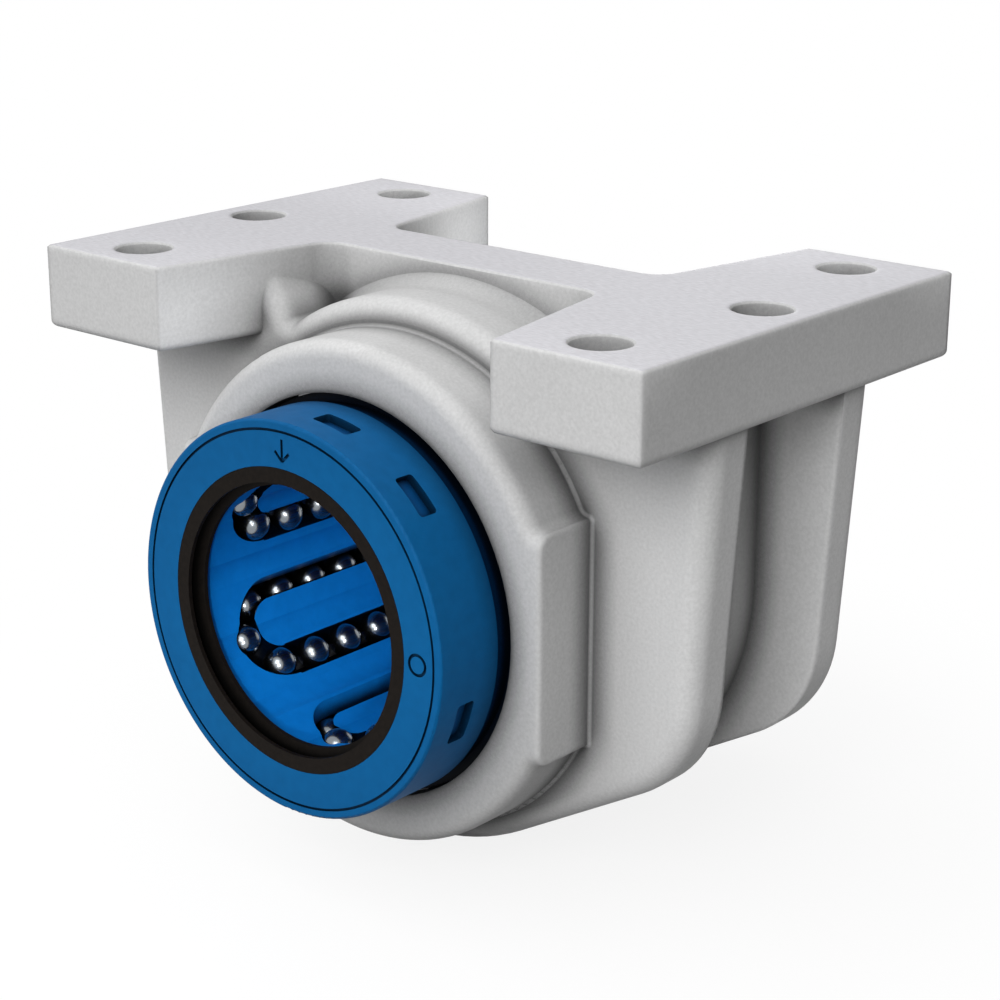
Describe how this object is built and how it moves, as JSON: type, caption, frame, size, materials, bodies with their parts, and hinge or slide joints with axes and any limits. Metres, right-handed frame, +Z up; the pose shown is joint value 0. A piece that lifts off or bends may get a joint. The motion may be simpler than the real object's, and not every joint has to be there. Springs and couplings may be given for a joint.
{
  "type": "linear bearing block",
  "caption": "Flanged cast housing holding a closed linear ball bearing, with recirculating ball circuits, plastic cage and end rings, and rubber wiper seals.",
  "frame": {"origin": "on the shaft axis at mid length", "axes": "+Y along the shaft axis, +Z up to the mounting face, X across the flange"},
  "size_m": [0.088, 0.068, 0.0672],
  "materials": {
    "cast_aluminium": "fine cast grain, machined mounting face",
    "blue_cage": "moulded",
    "blue_ring": "moulded",
    "seal_rubber": "matt",
    "plate_steel": "ground",
    "ball_steel": "polished"
  },
  "bodies": {
    "block": {"housing": "cast_aluminium", "cage": "blue_cage", "end_ring_front": "blue_ring", "end_ring_rear": "blue_ring", "seal_front": "seal_rubber", "seal_rear": "seal_rubber", "raceway_plate_1": "plate_steel", "raceway_plate_2": "plate_steel", "raceway_plate_3": "plate_steel", "raceway_plate_4": "plate_steel", "raceway_plate_5": "plate_steel", "raceway_plate_6": "plate_steel"},
    "load_row_1": {"load_row_1": "ball_steel"},
    "return_row_1": {"return_row_1": "ball_steel"},
    "rear_turn_1": {"rear_turn_1": "ball_steel"},
    "front_turn_1": {"front_turn_1": "ball_steel"},
    "load_row_2": {"load_row_2": "ball_steel"},
    "return_row_2": {"return_row_2": "ball_steel"},
    "rear_turn_2": {"rear_turn_2": "ball_steel"},
    "front_turn_2": {"front_turn_2": "ball_steel"},
    "load_row_3": {"load_row_3": "ball_steel"},
    "return_row_3": {"return_row_3": "ball_steel"},
    "rear_turn_3": {"rear_turn_3": "ball_steel"},
    "front_turn_3": {"front_turn_3": "ball_steel"},
    "load_row_4": {"load_row_4": "ball_steel"},
    "return_row_4": {"return_row_4": "ball_steel"},
    "rear_turn_4": {"rear_turn_4": "ball_steel"},
    "front_turn_4": {"front_turn_4": "ball_steel"},
    "load_row_5": {"load_row_5": "ball_steel"},
    "return_row_5": {"return_row_5": "ball_steel"},
    "rear_turn_5": {"rear_turn_5": "ball_steel"},
    "front_turn_5": {"front_turn_5": "ball_steel"},
    "load_row_6": {"load_row_6": "ball_steel"},
    "return_row_6": {"return_row_6": "ball_steel"},
    "rear_turn_6": {"rear_turn_6": "ball_steel"},
    "front_turn_6": {"front_turn_6": "ball_steel"}
  },
  "joints": [
    {"name": "load_slide_1", "type": "slide", "parent": "block", "child": "load_row_1", "axis": [0, 1, 0], "range_m": [-0.00136, 0.00136]},
    {"name": "return_slide_1", "type": "slide", "parent": "block", "child": "return_row_1", "axis": [0, 1, 0], "range_m": [-0.00137, 0.00137]},
    {"name": "rear_turn_hinge_1", "type": "hinge", "parent": "block", "child": "rear_turn_1", "pos_m": [0.01527, 0.0218, 0.00856], "axis": [-0.7398, 0, -0.6728], "range_deg": [-18.05, 18.05]},
    {"name": "front_turn_hinge_1", "type": "hinge", "parent": "block", "child": "front_turn_1", "pos_m": [0.01527, -0.0218, 0.00856], "axis": [-0.7398, 0, -0.6728], "range_deg": [-18.05, 18.05]},
    {"name": "load_slide_2", "type": "slide", "parent": "block", "child": "load_row_2", "axis": [0, 1, 0], "range_m": [-0.00136, 0.00136]},
    {"name": "return_slide_2", "type": "slide", "parent": "block", "child": "return_row_2", "axis": [0, 1, 0], "range_m": [-0.00137, 0.00137]},
    {"name": "rear_turn_hinge_2", "type": "hinge", "parent": "block", "child": "rear_turn_2", "pos_m": [0.00023, 0.0218, 0.0175], "axis": [0.2128, 0, -0.9771], "range_deg": [-18.05, 18.05]},
    {"name": "front_turn_hinge_2", "type": "hinge", "parent": "block", "child": "front_turn_2", "pos_m": [0.00023, -0.0218, 0.0175], "axis": [0.2128, 0, -0.9771], "range_deg": [-18.05, 18.05]},
    {"name": "load_slide_3", "type": "slide", "parent": "block", "child": "load_row_3", "axis": [0, 1, 0], "range_m": [-0.00136, 0.00136]},
    {"name": "return_slide_3", "type": "slide", "parent": "block", "child": "return_row_3", "axis": [0, 1, 0], "range_m": [-0.00137, 0.00137]},
    {"name": "rear_turn_hinge_3", "type": "hinge", "parent": "block", "child": "rear_turn_3", "pos_m": [-0.01505, 0.0218, 0.00895], "axis": [0.9526, 0, -0.3043], "range_deg": [-18.05, 18.05]},
    {"name": "front_turn_hinge_3", "type": "hinge", "parent": "block", "child": "front_turn_3", "pos_m": [-0.01505, -0.0218, 0.00895], "axis": [0.9526, 0, -0.3043], "range_deg": [-18.05, 18.05]},
    {"name": "load_slide_4", "type": "slide", "parent": "block", "child": "load_row_4", "axis": [0, 1, 0], "range_m": [-0.00136, 0.00136]},
    {"name": "return_slide_4", "type": "slide", "parent": "block", "child": "return_row_4", "axis": [0, 1, 0], "range_m": [-0.00137, 0.00137]},
    {"name": "rear_turn_hinge_4", "type": "hinge", "parent": "block", "child": "rear_turn_4", "pos_m": [-0.01527, 0.0218, -0.00856], "axis": [0.7398, 0, 0.6728], "range_deg": [-18.05, 18.05]},
    {"name": "front_turn_hinge_4", "type": "hinge", "parent": "block", "child": "front_turn_4", "pos_m": [-0.01527, -0.0218, -0.00856], "axis": [0.7398, 0, 0.6728], "range_deg": [-18.05, 18.05]},
    {"name": "load_slide_5", "type": "slide", "parent": "block", "child": "load_row_5", "axis": [0, 1, 0], "range_m": [-0.00136, 0.00136]},
    {"name": "return_slide_5", "type": "slide", "parent": "block", "child": "return_row_5", "axis": [0, 1, 0], "range_m": [-0.00137, 0.00137]},
    {"name": "rear_turn_hinge_5", "type": "hinge", "parent": "block", "child": "rear_turn_5", "pos_m": [-0.00023, 0.0218, -0.0175], "axis": [-0.2128, 0, 0.9771], "range_deg": [-18.05, 18.05]},
    {"name": "front_turn_hinge_5", "type": "hinge", "parent": "block", "child": "front_turn_5", "pos_m": [-0.00023, -0.0218, -0.0175], "axis": [-0.2128, 0, 0.9771], "range_deg": [-18.05, 18.05]},
    {"name": "load_slide_6", "type": "slide", "parent": "block", "child": "load_row_6", "axis": [0, 1, 0], "range_m": [-0.00136, 0.00136]},
    {"name": "return_slide_6", "type": "slide", "parent": "block", "child": "return_row_6", "axis": [0, 1, 0], "range_m": [-0.00137, 0.00137]},
    {"name": "rear_turn_hinge_6", "type": "hinge", "parent": "block", "child": "rear_turn_6", "pos_m": [0.01505, 0.0218, -0.00895], "axis": [-0.9526, 0, 0.3043], "range_deg": [-18.05, 18.05]},
    {"name": "front_turn_hinge_6", "type": "hinge", "parent": "block", "child": "front_turn_6", "pos_m": [0.01505, -0.0218, -0.00895], "axis": [-0.9526, 0, 0.3043], "range_deg": [-18.05, 18.05]}
  ],
  "couplings": [
    {"joint": "rear_turn_hinge_1", "follows": "load_slide_1", "rad_per_m": 230.58},
    {"joint": "front_turn_hinge_1", "follows": "load_slide_1", "rad_per_m": 230.58},
    {"joint": "return_slide_1", "follows": "load_slide_1", "ratio": -1},
    {"joint": "rear_turn_hinge_2", "follows": "load_slide_2", "rad_per_m": 230.58},
    {"joint": "front_turn_hinge_2", "follows": "load_slide_2", "rad_per_m": 230.58},
    {"joint": "return_slide_2", "follows": "load_slide_2", "ratio": -1},
    {"joint": "rear_turn_hinge_3", "follows": "load_slide_3", "rad_per_m": 230.58},
    {"joint": "front_turn_hinge_3", "follows": "load_slide_3", "rad_per_m": 230.58},
    {"joint": "return_slide_3", "follows": "load_slide_3", "ratio": -1},
    {"joint": "rear_turn_hinge_4", "follows": "load_slide_4", "rad_per_m": 230.58},
    {"joint": "front_turn_hinge_4", "follows": "load_slide_4", "rad_per_m": 230.58},
    {"joint": "return_slide_4", "follows": "load_slide_4", "ratio": -1},
    {"joint": "rear_turn_hinge_5", "follows": "load_slide_5", "rad_per_m": 230.58},
    {"joint": "front_turn_hinge_5", "follows": "load_slide_5", "rad_per_m": 230.58},
    {"joint": "return_slide_5", "follows": "load_slide_5", "ratio": -1},
    {"joint": "rear_turn_hinge_6", "follows": "load_slide_6", "rad_per_m": 230.58},
    {"joint": "front_turn_hinge_6", "follows": "load_slide_6", "rad_per_m": 230.58},
    {"joint": "return_slide_6", "follows": "load_slide_6", "ratio": -1}
  ]
}
